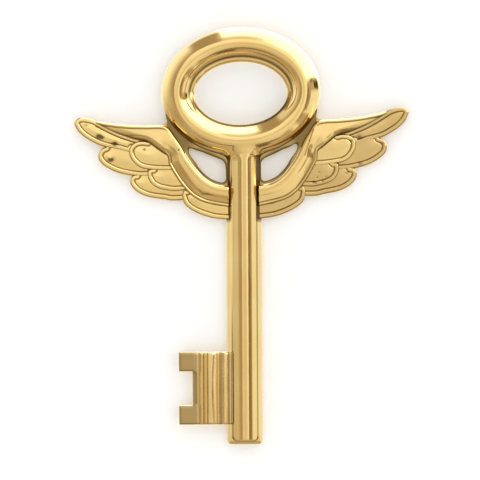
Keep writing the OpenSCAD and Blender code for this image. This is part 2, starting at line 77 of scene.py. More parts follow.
# Shank: axis, half width and levels, all from the hanger's hole
AXIS_X = 90 * math.sin(LEAN)
HALF_W = 11.7
FOOT = -HANG - BOW_B - 192
NECK_R = 5.0
LEVEL_FROM = -92.0
# The crease between bar and flange, how far right the bar's crown lies, and the flange's rim and the corners'
# radius at the foot
CREASE = 8.85
CROWN_X = 0.6
FOOT_RIM = 2.3
FOOT_CORNER = 3.0
# Where the wing plates' tabs begin and end in the shank's back
TAB_FROM, TAB_TO = -HANG - 82 - SEAT, -HANG - 66 + SEAT


# Drawing helpers

def step(x, low=0.0, high=1.0):
    """Smooth step: 0 below low, 1 above high, and 3t^2 - 2t^3 between."""
    t = np.clip((x - low) / (high - low), 0, 1)
    return t * t * (3 - 2 * t)


def bump(x, centre, width):
    """Round bump of height 1: the bell exp(-((x - centre) / width)^2)."""
    return np.exp(-(((x - centre) / width) ** 2))


def blend_up(a, b, soft):
    """Smooth maximum of two heights: where they are closer than soft, the corner is filled with a parabola."""
    gap = np.clip(1 - np.abs(a - b) / soft, 0, 1)
    return np.maximum(a, b) + gap * gap * soft / 4


def through(points, where):
    """Catmull-Rom curve through the points, at shares 0 to 1 of the way along."""
    p = np.asarray(points, float)
    last = len(p) - 1
    spot = np.clip(where, 0, 1) * last
    i = np.minimum(spot.astype(int), last - 1)
    t = (spot - i)[:, None]
    a, b, c, d = p[np.maximum(i - 1, 0)], p[i], p[i + 1], p[np.minimum(i + 2, last)]
    return 0.5 * (2 * b + (c - a) * t + (2 * a - 5 * b + 4 * c - d) * t**2 + (3 * b - a - 3 * c + d) * t**3)


def shares(count, both_ends=True):
    """Shares from 0 to 1 that lie closer near both ends, or near the far end: a half or a quarter cosine."""
    t = np.linspace(0, 1, count)
    return (1 - np.cos(math.pi * t)) / 2 if both_ends else np.sin(math.pi / 2 * t)


def reach(x, y, line):
    """Shortest distance from each point to a polyline: the least over its pieces."""
    a = line[:-1]
    run = line[1:] - a
    square = np.maximum((run**2).sum(1), 1e-12)
    flat = np.stack([x.ravel(), y.ravel()], 1)
    out = np.empty(len(flat))
    for start in range(0, len(flat), 4000):
        rel = flat[start:start + 4000, None] - a[None]
        t = np.clip((rel * run).sum(2) / square, 0, 1)[..., None]
        out[start:start + 4000] = np.sqrt(((rel - t * run) ** 2).sum(2).min(1))
    return out.reshape(x.shape)


def leaning(x, y, h):
    """Bow's drawing to the world: down by the hanger's drop, then turned by the lean."""
    y = y - HANG
    return np.stack([x * math.cos(LEAN) - y * math.sin(LEAN), -h, x * math.sin(LEAN) + y * math.cos(LEAN)], -1) * MM


def upright(x, y, h):
    """Shank's drawing to the world: across from the shank's axis, and up from the hanger's hole."""
    return np.stack([x + AXIS_X, -h, y + 0 * x], -1) * MM


def to_bow(x, y):
    """Shank's drawing to the bow's drawing: the lean turned back, then up by the hanger's drop."""
    x = x + AXIS_X
    return x * math.cos(LEAN) + y * math.sin(LEAN), -x * math.sin(LEAN) + y * math.cos(LEAN) + HANG


def from_bow(x, y):
    """Bow's drawing to the shank's drawing: down by the hanger's drop, then turned by the lean."""
    y = y - HANG
    return x * math.cos(LEAN) - y * math.sin(LEAN) - AXIS_X, x * math.sin(LEAN) + y * math.cos(LEAN)


# Making meshes

# Edges that turn by more than this stay sharp
SHARP = math.radians(35)


def add_object(name, data):
    """New object at the scene's origin."""
    made = bpy.data.objects.new(name, data)
    bpy.context.scene.collection.objects.link(made)
    return made


def casting(name, parts, grooves=None):
    """One object from several closed parts, each (points, faces), with its faces turned outwards.
    The third argument gives each point of each part a share 0 to 1 of painted shade, for the grooves, seams and
    corners where shade falls."""
    points, faces, shade = [], [], []
    base = 0
    for k, (p, f) in enumerate(parts):
        p = p.reshape(-1, 3)
        a, b, c, d = (p[f[:, n]] for n in range(4))
        volume = (np.cross(b - a, c - a) * a).sum() + (np.cross(c - a, d - a) * a).sum()
        points.append(p)
        faces.append((f if volume > 0 else f[:, ::-1]) + base)
        shade.append(np.zeros(len(p)) if grooves is None else grooves[k].ravel())
        base += len(p)
    points, faces, shade = np.concatenate(points), np.concatenate(faces), np.concatenate(shade)
    mesh = bpy.data.meshes.new(name)
    mesh.vertices.add(len(points))
    mesh.vertices.foreach_set("co", points.ravel())
    mesh.loops.add(faces.size)
    mesh.loops.foreach_set("vertex_index", faces.ravel())
    mesh.polygons.add(len(faces))
    mesh.polygons.foreach_set("loop_start", np.arange(0, faces.size, 4))
    mesh.polygons.foreach_set("loop_total", np.full(len(faces), 4))
    mesh.update(calc_edges=True)
    mesh.validate()
    mesh.polygons.foreach_set("use_smooth", np.ones(len(mesh.polygons), bool))
    mesh.set_sharp_from_angle(angle=SHARP)
    # painted shade of each point, which the brass materials read
    layer = mesh.attributes.new("groove", "FLOAT", "POINT")
    layer.data.foreach_set("value", shade)
    return add_object(name, mesh)


def quads(rows, columns, first=0):
    """Faces of a grid: each joins a point to the next along the row, on the next row, and back."""
    at = first + np.arange(rows * columns).reshape(rows, columns)
    return np.stack([at[:-1, :-1], at[:-1, 1:], at[1:, 1:], at[1:, :-1]], -1).reshape(-1, 4)


def slab(top, bottom):
    """Closed solid between two grids of points: both faces, and a wall of one strip round their borders."""
    rows, columns = top.shape[:2]
    count = rows * columns
    at = np.arange(count).reshape(rows, columns)
    border = np.concatenate([at[0, :], at[1:, -1], at[-1, -2::-1], at[-2:0:-1, 0]])
    after = np.roll(border, -1)
    wall = np.stack([after, border, border + count, after + count], 1)
    faces = np.concatenate([quads(rows, columns), quads(rows, columns, count)[:, ::-1], wall])
    return np.concatenate([top.reshape(-1, 3), bottom.reshape(-1, 3)]), faces


def holed_slab(top, bottom, kept):
    """The same as slab, but only where kept is true for a cell, with a wall wherever a kept cell ends. It also
    gives which of the two grids' points are used."""
    rows, columns = top.shape[:2]
    count = rows * columns
    cells = quads(rows, columns)[kept.ravel()]
    ways = np.concatenate([cells[:, [n, (n + 1) % 4]] for n in range(4)])
    key = ways.min(1) * count + ways.max(1)
    _, first, times = np.unique(key, return_index=True, return_counts=True)
    edge = ways[first[times == 1]]
    wall = np.stack([edge[:, 1], edge[:, 0], edge[:, 0] + count, edge[:, 1] + count], 1)
    faces = np.concatenate([cells, cells[:, ::-1] + count, wall])
    used, faces = np.unique(faces, return_inverse=True)
    points = np.concatenate([top.reshape(-1, 3), bottom.reshape(-1, 3)])[used]
    return points, faces.reshape(-1, 4), used


def prism(outline, low, high, place):
    """Closed upright prism over a convex outline, as strips of four-sided faces between its two halves."""
    left, right = outline
    share = np.linspace(0, 1, 3)[None, :, None]
    flat = left[:, None] * (1 - share) + right[:, None] * share
    return slab(*(place(flat[..., 0], flat[..., 1], np.full(flat.shape[:2], h)) for h in (high, low)))


def cut(piece, cutters):
    """Takes the cutters, each (name, part), away from the piece for good, and drops them."""
    for name, part in cutters:
        tool = casting(name, [part])
        change = piece.modifiers.new(name, "BOOLEAN")
        change.object, change.operation, change.solver = tool, "DIFFERENCE", "EXACT"
        done = piece.evaluated_get(bpy.context.evaluated_depsgraph_get())
        mesh = bpy.data.meshes.new_from_object(done)
        piece.modifiers.clear()
        piece.data = mesh
        bpy.data.objects.remove(tool)
    piece.data.set_sharp_from_angle(angle=SHARP)
    return piece


# Bow

# How often a search by halving halves
HALVINGS = 40


def band_height(v):
    """Height of the bow's face at a share v across its band, from outside to eye: a quarter of an oval up to the
    crest, a quarter of an oval down to the step, and the low lip that ends at the eye."""
    up = np.sqrt(np.clip(1 - (1 - v / CREST_PLACE) ** 2, 0, 1))
    down = np.sqrt(np.clip(1 - ((v - CREST_PLACE) / (STEP_PLACE - CREST_PLACE)) ** 2, 0, 1))
    face = np.where(v < CREST_PLACE, OUTER_WALL + (CREST - OUTER_WALL) * up, STEP_TOP + (CREST - STEP_TOP) * down)
    return np.where(v < STEP_PLACE, face, np.interp(v, *zip(*LIP)))


def oval(x, y, v):
    """Where a place lies to the oval at share v of the band: under 1 inside it and over 1 outside. The ovals' half
    sizes and centres run evenly from the bow's outside to its eye."""
    return (x / (BOW_A + (EYE_A - BOW_A) * v)) ** 2 + ((y + EYE_DROP * v) / (BOW_B + (EYE_B - BOW_B) * v)) ** 2


def band_share(x, y):
    """Share v across the band at a place in the bow's drawing, found by halving."""
    low, high = np.full(x.shape, -1.0), np.full(x.shape, 1.5)
    for _ in range(HALVINGS):
        v = (low + high) / 2
        inside = oval(x, y, v) < 1
        low, high = np.where(inside, v, low), np.where(inside, high, v)
    return v


def rounded_bar(start, end, r):
    """Outline of a straight bar with round ends, as its two mirrored halves from end to end."""
    turn = math.atan2(end[1] - start[1], end[0] - start[0])
    arc = np.concatenate([np.linspace(math.pi, math.pi / 2, 17), np.linspace(math.pi / 2, 0, 17)])
    middle = np.repeat(np.array([start, end], float), 17, 0)
    return np.stack([middle + r * np.stack([np.cos(turn + a), np.sin(turn + a)], 1) for a in (arc, -arc)])


def bow_grooves(u, s, low):
    """Painted shade on the bow, for its turn u and share s across: dark below the lip except where low is 1, a
    broken dark streak above it in the upper half, a dark line along the eye's lower edge, a painted shadow at the
    lower outer rim, and a dark line along the outline itself."""
    down = -np.sin(u)
    below_lip = (0.75 * bump(s, 0.868, 0.022) + 0.4 * bump(s, 0.825, 0.03)) * (1 - low)
    streak = (0.4 + 0.3 * np.cos(4 * u + 1)) * bump(s, 0.655 + 0.01 * np.sin(3 * u), 0.018) * step(-down, 0.2, 0.6)
    eye_line = step(s, 0.905, 0.945) * step(down, -0.3, 0.4)
    rim_shade = 0.5 * (1 - step(s, 0.03, 0.13)) * step(down, 0.3, 0.5)
    outline = np.where(u > math.pi, 0.9 * bump(s, 0, 0.032) * step(down, 0.1, 0.4), 0.45 * bump(s, 0, 0.012))
    return np.clip(below_lip + streak + eye_line + rim_shade + outline, 0, 1)


def make_bow():
    """Bow: for each turn of the oval, the section runs up the outside, over the crest, down to the step and over
    the lip to the eye. Along the bottom the fall from the crest runs straight on to the eye instead."""
    turn = np.linspace(0, 2 * math.pi, 513)[:-1]
    quarter = np.linspace(0, math.pi / 2, 34)
    across = np.concatenate([CREST_PLACE * (1 - np.cos(quarter)),
                             CREST_PLACE + (STEP_PLACE - CREST_PLACE) * np.sin(quarter[1:-1]),
                             [place for place, _ in LIP]])
    u, s = np.meshgrid(turn, np.concatenate([[0], across, [1]]), indexing="ij")
    x = np.cos(u) * (BOW_A + (EYE_A - BOW_A) * s)
    y = np.sin(u) * (BOW_B + (EYE_B - BOW_B) * s) - EYE_DROP * s
    at = np.arange(u.size).reshape(u.shape)
    right, below = np.roll(at, -1, 1), np.roll(at, -1, 0)
    faces = np.stack([at, right, np.roll(right, -1, 0), below], -1).reshape(-1, 4)
    # the section, and what replaces it along the bottom
    section = np.concatenate([[0], band_height(across), [0]])
    low = step(-np.sin(u), -0.1, 0.6)
    far = np.clip((s - CREST_PLACE) / (1 - CREST_PLACE), 0, 1)
    plain = OUTER_WALL + (CREST - OUTER_WALL) * np.sqrt(1 - np.minimum(far, STRAIGHT_FROM) ** 2)
    plain -= STRAIGHT_FALL * np.maximum(far - STRAIGHT_FROM, 0)
    h = np.where((s > CREST_PLACE) & (section > 0), section + (plain - section) * low, section)
    piece = casting("bow_casting", [(leaning(x, y, h), faces)], [np.where(h > 0, bow_grooves(u, s, low), 0)])
    # recesses in the back
    top = (BOW_B + EYE_B) / 2 - EYE_DROP / 2
    recess = rounded_bar((-HANGER_HALF_W, top), (HANGER_HALF_W, top), HANGER_CORNER + SEAT)
    recess[..., 1] += np.where(recess[..., 1] > top, HANGER_HALF_H, -HANGER_HALF_H)
    pocket = rounded_bar((0, HANG), (0, HANG + SLOT_LENGTH), POCKET_R)
    cutters = [("hanger_recess", prism(recess, CUT_FROM, PLATE, leaning)),
               ("hanger_pocket", prism(pocket, CUT_FROM, PLATE + POCKET_DEPTH, leaning))]
    for side in (-1, 1):
        ends = [(side * ear_x, ear_y) for ear_x, ear_y in (EAR_INNER, EAR_OUTER)]
        cutters.append(("ear_recess", prism(rounded_bar(*ends, EAR_R + SEAT), CUT_FROM, PLATE, leaning)))
    return cut(piece, cutters)


# Shank

# The bar's face from its axis outwards: round, then the flange's bevel beyond the crease
BAR = [(0, 13), (1.2, 12.94), (2.2, 12.76), (3.0, 12.52), (3.8, 12.22), (4.4, 11.96), (4.9, 11.66), (5.5, 11.27),
       (6.2, 10.79), (7, 10.21), (7.8, 9.6), (8.5, 9.0), (9.1, 8.2), (9.8, 7.0), (10.8, 5.05), (11.7, 3.2)]
# Pits beside the neck: place in the shank's drawing and radius
NECK_PITS = [(9.6, -92.6, 0.8), (9.3, -89.6, 0.6), (10.0, -95.4, 0.5), (-9.4, -71.8, 0.7), (-10.2, -74.6, 0.5)]
NECK_PIT_DEPTH = 0.3
# Points round each of the neck's fillets, and below it down to the level rows
FILLET_POINTS, FALL_POINTS = 44, 24
# The bow's underside and the fillets' centres lie between these heights
NECK_LOW, NECK_HIGH = -90.0, -70.0


def contour(x, v):
    """How high the lower half of the bow's oval at share v lies, in the shank's drawing, found by halving."""
    low, high = np.full(x.shape, NECK_LOW), np.full(x.shape, -HANG - EYE_B - 1)
    for _ in range(HALVINGS):
        y = (low + high) / 2
        inside = oval(*to_bow(x, y), v) < 1
        low, high = np.where(inside, low, y), np.where(inside, y, high)
    return y


def neck_border(side, under):
    """One side of the neck as two columns: a fillet's arc from where it touches the bow's outline, then straight
    down. The fillet's centre is the first place on the way up that comes within its radius of the outline."""
    cx = side * (HALF_W + NECK_R)
    tries = np.linspace(NECK_LOW, NECK_HIGH, 2001)
    cy = tries[np.argmax(reach(np.full(tries.shape, cx), tries, under) < NECK_R)]
    touch = under[np.argmin(np.hypot(under[:, 0] - cx, under[:, 1] - cy))]
    turn = np.linspace(math.atan2(touch[1] - cy, touch[0] - cx), math.pi * (side > 0), FILLET_POINTS)
    x = np.concatenate([cx + NECK_R * np.cos(turn), np.full(FALL_POINTS, side * HALF_W)])
    y = np.concatenate([cy + NECK_R * np.sin(turn), np.linspace(cy, LEVEL_FROM, FALL_POINTS + 1)[1:]])
    return x[:, None], y[:, None]


def shank_grid():
    """Grid over the shank: each column's share u from side to side, x, y, and how far across the bar each place
    counts. On the bow's face the rows follow its ovals, between the fillets they straighten out, and below they are
    level, down to the foot's rounded corners."""
    u = np.unique(np.concatenate([np.linspace(0, 1, 61), np.linspace(0.68, 0.80, 13)]))
    u = np.concatenate([-u[:0:-1], u])[None]
    angle = np.linspace(-0.6, 0.6, 2401)
    under = np.stack(from_bow(BOW_A * np.sin(angle), -BOW_B * np.cos(angle)), 1)
    (left_x, left_y), (right_x, right_y) = (neck_border(side, under) for side in (-1, 1))
    # rows on the bow's face, from its crest to its outline
    share = CREST_PLACE * (1 - np.cos(np.linspace(math.pi / 2, 0, 44)))[:-1, None]
    face_x = np.repeat(np.where(u < 0, -u * left_x[0], u * right_x[0]), len(share), 0)
    face_y = contour(face_x, share)
    # rows between the fillets, which sag less and less on the way down
    neck_x = np.where(u < 0, -u * left_x, u * right_x)
    line = left_y + (right_y - left_y) * (neck_x - left_x) / (right_x - left_x)
    sag = contour(neck_x[:1], np.zeros((1, 1))) - line[:1]
    neck_y = line + sag * (1 - step(np.linspace(0, 1, len(line))))[:, None]
    # level rows, closer at the foot, with two pairs where the tabs' floor begins and ends
    down = np.concatenate([np.linspace(LEVEL_FROM, FOOT + 8, 120)[1:],
                           np.linspace(FOOT + 8, FOOT + FOOT_RIM, 40)[1:],
                           FOOT + (FOOT_RIM - 0.001) * (1 - np.sin(np.linspace(0, math.pi / 2, 26)))])
    down = np.sort(np.concatenate([down, [TAB_FROM - 1e-3, TAB_FROM, TAB_TO, TAB_TO + 1e-3]]))[::-1, None]
    corner = np.clip(1 - (down - FOOT) / FOOT_CORNER, 0, 1)
    low_x = u * (HALF_W - FOOT_CORNER * (1 - np.sqrt(1 - corner**2)))
    low_y = np.repeat(down, u.shape[1], 1)
    across = np.concatenate([np.repeat(u * HALF_W, len(face_x) + len(neck_x), 0), low_x])
    return u, np.concatenate([face_x, neck_x, low_x]), np.concatenate([face_y, neck_y, low_y]), across


def bar_face(x, y, across):
    """Height of the bar on its flange, and how much painted shade lies in its crease and along its end: the section
    BAR carried down the shank, with the crown moved right and the shoulders a little out, and a rounded end above
    the flange's rim."""
    across = across - CROWN_X * (1 - step(np.abs(across), 5, 9))
    off = np.abs(across)
    off = off + np.where(x > 0, 0.35, 0.75) * step(off, 4, 8) * (1 - step(off, 9, HALF_W))
    curve = through(BAR, np.linspace(0, 1, 400))
    h = np.interp(off, curve[:, 0], curve[:, 1])
    # the crease, and the painted shade in it, deepen down the shank, and stop at the bar's end
    end_y = FOOT + FOOT_RIM
    deepening = np.where(x > 0, step(-y, 98, 125), step(-y, 150, 205))
    crease = bump(off, CREASE, 0.5) * deepening * step(y, end_y + 0.5, end_y + FOOT_CORNER)
    h -= 0.34 * crease
    # how far inside the bar's end a place lies, with its round corners
    foot = y < end_y + FOOT_CORNER
    at_corner = (off > CREASE - FOOT_CORNER) & foot
    from_corner = np.hypot(off - CREASE + FOOT_CORNER, end_y + FOOT_CORNER - y)
    inside = np.where(at_corner, FOOT_CORNER - from_corner, y - end_y)
    flange = 3.3 + 3.2 * np.clip((y - FOOT) / FOOT_RIM, 0, 1)
    rise = np.where(off < CREASE, np.sqrt(1 - (1 - np.clip(inside / 1.3, 0, 1)) ** 2), 0)
    h = np.where(foot, np.minimum(h, flange + np.maximum(h - flange, 0) * rise), h)
    # painted shade along the bar's rounded end
    end = bump(inside, 0, 0.42) * (off < CREASE + 0.4) * foot
    return h, 0.75 * crease + 0.9 * end


def make_shank():
    """Shank: the bar's face on the shank's grid. At the neck it sinks and blends into the bow's face as a smooth
    maximum, and what it adds fades out at the patch's border. Its back is flat, but for the floor under the wing
    plates' tabs, which leans with the bow, and inside the bow, where it rises."""
    u, x, y, across = shank_grid()
    bar, dark = bar_face(x, y, across)
    v = band_share(*to_bow(x, y))
    ring = np.where(v > 0, band_height(np.clip(v, 0, 1)), np.maximum(OUTER_WALL + 40 * v, -50))
    met = blend_up(bar - 4 * step(v, 0.1, 0.5), ring, 5.5)
    keep = (1 - step(np.abs(u), 0.75, 1.0) * step(v, 0.0, 0.06)) * (1 - step(v, 0.42, CREST_PLACE))
    h = np.where(v > 0, ring + (met - ring) * keep + 0.02, met)
    pits = sum(np.exp(-((x - px) ** 2 + (y - py) ** 2) / r**2) for px, py, r in NECK_PITS)
    h -= NECK_PIT_DEPTH * pits
    # painted shade in the corners beside the crescents' ends, a rim of painted shade where the neck meets the bow,
    # and painted shade in the pits
    beside = step(np.abs(x + 0.3), 7.9, 9.0) * step(y, -117, -114) * (1 - step(v, -0.01, 0.03))
    rim = (1 - step(v, 0.03, 0.13)) * step(v, -0.02, 0) * step(np.abs(u), 0.6, 0.85)
    grooves = np.clip(dark + 0.7 * pits + beside + 0.5 * rim, 0, 1).ravel()
    shear = np.where((y > TAB_FROM - 2) & (y < TAB_TO + 2), (x + AXIS_X) * math.tan(LEAN), 0)
    back = np.where((y >= TAB_FROM) & (y <= TAB_TO), PLATE + 0.02, 3.0 * step(v, -0.02, 0.05))
    return casting("shank_casting", [slab(upright(x, y, h), upright(x, y + shear, back))],
                   [np.concatenate([grooves, 0 * grooves])])


# Bit

# Its reach from the shank's side, its height and back, how far its tongue runs across it, and how far it lies above
# the foot
BIT_REACH, BIT_TALL, BIT_BACK = 32.0, 48.0, 2.6
BIT_ACROSS = 35.6
BIT_ABOVE_FOOT = 13.6
# The notch: its depth, and from and to up the bit
NOTCH_W, NOTCH_FROM, NOTCH_TO = 9.0, 12.5, 35.5
# Mouldings across the bit, from the prongs to the shank: place, width and height
BIT_FACE = 9
BIT_RIDGES = [(15.1, 0.7, 0.8), (17.7, 0.7, 0.8), (26.0, 0.75, 0.75), (30.6, 1.1, 0.3),
              (16.45, 0.4, -0.4), (18.9, 0.4, -0.35), (27.7, 1.0, -0.6), (33.0, 0.5, -0.4)]
# Lines of painted shade between them: place, width and darkness
BIT_LINES = [(16.45, 0.36, 0.7), (18.9, 0.36, 0.7), (13.4, 0.5, 0.7), (27.6, 0.7, 0.8), (33.0, 0.45, 0.9),
             (34.9, 0.5, 0.9)]


def make_bit():
    """Bit: a plate whose face follows one moulded profile across, from prongs to shank: bumps and steps, and a
    leaf-shaped swelling in the broad hollow. Its edges are rounded by the distance to its outline, the strip beside
    the notch slopes down to it, and the notch is left out of the grid."""
    across = np.unique(np.concatenate([shares(34) * NOTCH_W, NOTCH_W + shares(150) * (BIT_ACROSS - NOTCH_W)]))
    prong = shares(40) * NOTCH_FROM
    up = np.unique(np.concatenate([prong, NOTCH_FROM + shares(64) * (NOTCH_TO - NOTCH_FROM), NOTCH_TO + prong]))
    x, y = np.meshgrid(across, up, indexing="ij")
    face = BIT_FACE + sum(height * bump(x, place, width) for place, width, height in BIT_RIDGES)
    face += 0.5 * step(x, 13.8, 14.6) - 0.5 * step(x, 9.5, 13.2)
    face -= 0.5 * step(x, 20.5, 24.8) * (1 - step(x, 25, 25.4))
    leaf = np.abs(y - BIT_TALL / 2) / (BIT_TALL / 2)
    face += 0.22 * bump(x, 21.2 + 1.4 * leaf**2, 1.2)
    face += 0.05 * np.sin(y * 0.13 + 0.6) * bump(x, 21.5, 2.2) + 0.03 * np.sin(y * 0.21 + x * 0.3)
    # the outline runs on into the shank, where no edge is rounded
    past = BIT_ACROSS + 5
    outline = np.array([(past, 0), (0, 0), (0, NOTCH_FROM), (NOTCH_W, NOTCH_FROM), (NOTCH_W, NOTCH_TO),
                        (0, NOTCH_TO), (0, BIT_TALL), (past, BIT_TALL)], float)
    edge = reach(x, y, outline)
    face -= 1.15 * np.exp(-edge / 0.42)
    beside_notch = step(np.minimum(y - NOTCH_FROM, NOTCH_TO - y), 0, 1.6)
    face -= 2.2 * (1 - step(x, NOTCH_W - 0.5, NOTCH_W + 3.6)) * beside_notch
    # painted shade in the lines between the mouldings and along the rounded edges; the prongs are made darker too
    grooves = sum(dark * bump(x, place, width) for place, width, dark in BIT_LINES)
    grooves += 0.68 * (1 - step(x, 11, 14)) + 0.4 * np.exp(-edge / 0.3)
    mid_x, mid_y = np.meshgrid((across[1:] + across[:-1]) / 2, (up[1:] + up[:-1]) / 2, indexing="ij")
    kept = ~((mid_x < NOTCH_W) & (mid_y > NOTCH_FROM) & (mid_y < NOTCH_TO))
    at_x, at_y = x - HALF_W - BIT_REACH, y + FOOT + BIT_ABOVE_FOOT
    back = upright(at_x, at_y, np.full(x.shape, BIT_BACK))
    points, faces, used = holed_slab(upright(at_x, at_y, face), back, kept)
    shade = np.concatenate([np.clip(grooves, 0, 1).ravel(), np.zeros(x.size)])[used]
    return casting("bit_casting", [(points, faces)], [shade])


# Wings

# Sides of the key as the viewer sees them: -1 is left and 1 is right
HANDS = {-1: "left", 1: "right"}
# Rows across each piece of the right wing: a point on its upper or inner edge, then the facing point on its
# lower or outer edge
ARM = [(96.6, -16.4, 97.1, -17.4), (87, -18.3, 85, -24), (75.3, -19.8, 73, -28.8), (63.5, -20.5, 64, -31.2),
       (54.5, -20.7, 58, -35.5), (48.8, -22.5, 53.5, -39), (44.6, -28.3, 50.3, -41.5), (40.4, -34.5, 49.4, -47),
       (36.2, -42.8, 46, -53.6), (31, -50.4, 41, -61.4), (25, -57, 34.5, -68.5), (18, -61, 25.5, -73.4),
       (8, -62.8, 8, -77.2)]
UPPER_COVERT = [(49, -40.2, 48, -51), (53.6, -37.8, 54.5, -50.8), (58.2, -34.2, 60.8, -50.2),
                (63.8, -30.9, 66.8, -49.1), (68.5, -30.6, 71, -46.7), (72.2, -31.6, 74.2, -43),
                (74.9, -34.2, 75.7, -39.4), (75.8, -36.4, 75.9, -37.2)]
LOWER_COVERT = [(45.6, -51.3, 38.8, -64.4), (50.8, -50, 46, -64.9), (55.4, -49.7, 51.6, -64.1),
                (60, -49.3, 57.2, -62.5), (63.2, -50, 61.4, -59.6), (64.1, -52.4, 63.9, -55.4)]
PRIMARY = [(67.5, -29.6, 71, -32.6), (72.5, -27.9, 74, -35.8), (76, -26.6, 75.3, -37.9), (81, -24.7, 83.5, -35.7),
           (86.6, -22, 89.5, -34.4), (92.5, -18.7, 95, -32.7), (98, -15.6, 100.2, -30),
           (102.5, -14.1, 105.3, -26.7), (106.5, -13.6, 109.2, -22.8), (109.7, -14.4, 111.3, -19),
           (111.3, -16.2, 111.9, -17.3)]
SECOND = [(64.2, -48.6, 63.4, -54.3), (68, -47.2, 70, -54.1), (71, -45.2, 75, -53.4), (73.6, -41.8, 80, -52.3),
          (75.5, -37.2, 84.5, -50.9), (81, -35, 88.5, -49), (86, -34.2, 92, -46.8), (90.6, -33.6, 94.8, -44.3),
          (94.3, -35.1, 96.3, -41.7), (96, -37.5, 96.6, -39.1)]
THIRD = [(39.5, -64.2, 39.5, -70.8), (46, -63.8, 48, -71), (51.6, -63, 54, -69.8), (56.9, -61.4, 60, -68.9),
         (60.8, -58.6, 65.5, -67.5), (63, -54.4, 70, -65.3), (69, -53.2, 73.3, -62.6), (73.4, -53.2, 75.4, -59.6),
         (75.3, -54.9, 75.9, -56.8)]
LOWEST = [(8, -76, 8, -85.2), (19, -75.3, 19, -84.1), (25.5, -72.4, 26, -82.2), (30.3, -70, 32.2, -79.6),
          (34.3, -67.4, 37, -76.6), (37.3, -64.8, 40, -73.3), (39.6, -63.8, 41.2, -69.6),
          (40.9, -65.8, 41.5, -67.6)]
# Feathers and coverts: rows, height of the face, and from which share of the upper edge and to which of the lower
# edge their free edge runs
FEATHERS = {"primary": (PRIMARY, 5.3, 0.0, 0.1), "second": (SECOND, 5.0, 0.8, 0.0),
            "third": (THIRD, 4.7, 0.82, 0.0), "lowest": (LOWEST, 5.3, 0.75, 0.0),
            "lower_covert": (LOWER_COVERT, 6.0, 0.62, 0.0), "upper_covert": (UPPER_COVERT, 6.5, 0.42, 0.0)}
# How far each wing's feathers tilt: rise to a millimetre outwards and upwards
TILTS = {-1: (0.04, -0.05), 1: (0.01, 0.01)}
# Casting dents in the left (-1) and right (1) feathers: place, radius, depth and darkness, the darkness being
# # painted shade in the dent, with depth and darkness below 0 for a bright hump. They are longer across than up.
DENT_STRETCH = 1.8
DENTS = {
    (-1, "primary"): [(95.6, -26.6, 1.2, 0.1, 2.4), (93.6, -27.6, 1.0, 0.1, 2.0), (85.2, -31.9, 1.2, 0.1, 2.4),
                      (80, -29, 3.0, 0.12, 0), (104, -19, 1.0, 0.1, 0.5)],
    (-1, "second"): [(88.2, -42.5, 1.5, 0.3, 1.7), (88.6, -41.0, 0.8, -0.2, -0.8), (79, -47, 3, 0.08, 0)],
    (-1, "upper_covert"): [(65.5, -36.5, 0.8, 0.12, 0.9)],
    (1, "primary"): [(78.1, -32.8, 1.5, 0.15, 0.9), (97, -22, 4, 0.14, 0)],
    (1, "second"): [(93.6, -37.6, 1.2, 0.1, 0.6), (78, -50.6, 1.1, 0.1, 0.7)],
    (1, "lower_covert"): [(46.5, -62, 0.8, 0.3, 0.8), (49, -59, 0.6, 0.25, 0.7), (50.5, -55.5, 0.8, 0.22, 0.6),
                          (52.5, -61.5, 0.6, 0.25, 0.8), (48, -62.8, 0.5, 0.25, 0.8), (55, -58.5, 0.8, 0.1, 0.4)],
    (1, "upper_covert"): [(72.8, -35.2, 1.1, 0.15, 0.7)],
    (1, "third"): [(69, -56.5, 1.0, 0.15, 0.6)],
}
# Casting marks on the arms, each also darkened with painted shade: from and to, half width and depth
STROKES = {
    -1: [(42.5, -37.6, 42.7, -38.0, 0.6, 0.3)],
    1: [(47.5, -27.0, 44.6, -34.5, 0.42, 0.1), (44.6, -34.5, 41.2, -44.0, 0.3, 0.06),
        (49.5, -22.2, 48.9, -23.4, 0.5, 0.1)],
}
# How each crescent falls outwards from its crest, evenly and ever more steeply, and how high its outer edge lies
FALLS = {-1: (0.46, 0.03), 1: (0.2, 0.008)}
CRESCENT_FOOT = {-1: 7.5, 1: 8.6}
# The web beside the bow: its outline and height, how far its back lies in, and its window, which differs at the
# outer corner
WEB = [(44, -12), (50.9, -13.3), (49.8, -17.8), (50, -22.5), (47.5, -28.5), (44, -35), (40, -44), (34, -53),
       (27, -60), (18, -64), (10, -65), (10, -36), (30, -28)]
WEB_TOP = 4.6
WEB_BACK = PLATE + 0.4
WINDOW_MIDDLE = np.array([24, -48.5])
WINDOW_TOP = [(11.8, -51.1), (12.2, -47.6), (13.9, -45.2), (16.6, -43.9), (19.7, -42.6), (22.9, -41.2),
              (26.6, -39.5), (31.3, -37.8)]
WINDOW_CORNER = {-1: [(35, -36.5), (35.9, -38.4), (34.7, -41.7)], 1: [(35.6, -35.8), (36.6, -37.9), (35.4, -41.2)]}
WINDOW_LOW = [(31.5, -46.3), (29.5, -49.7), (27.1, -52.7), (24.4, -55.3), (21.7, -57.4), (18.4, -58.9), (14.9, -60),
              (12.5, -59.3), (11.8, -56.8)]


def ribbon(rows, along, across):
    """Grid over a piece: its two edges as smooth curves, and straight rows between them."""
    edge = through(rows, along)
    a, b = edge[:, None, :2], edge[:, None, 2:]
    v = across[None, :, None]
    place = a * (1 - v) + b * v
    return place[..., 0], place[..., 1], edge[:, :2], edge[:, 2:]


def free_edge(rows, upper_from, lower_from):
    """The edge that shows: the upper edge from one share of the way, round the tip, and the lower edge."""
    up = through(rows, np.linspace(upper_from, 1, 120))[:, :2]
    low = through(rows, np.linspace(1, lower_from, 160))[:, 2:]
    return np.concatenate([up, low])


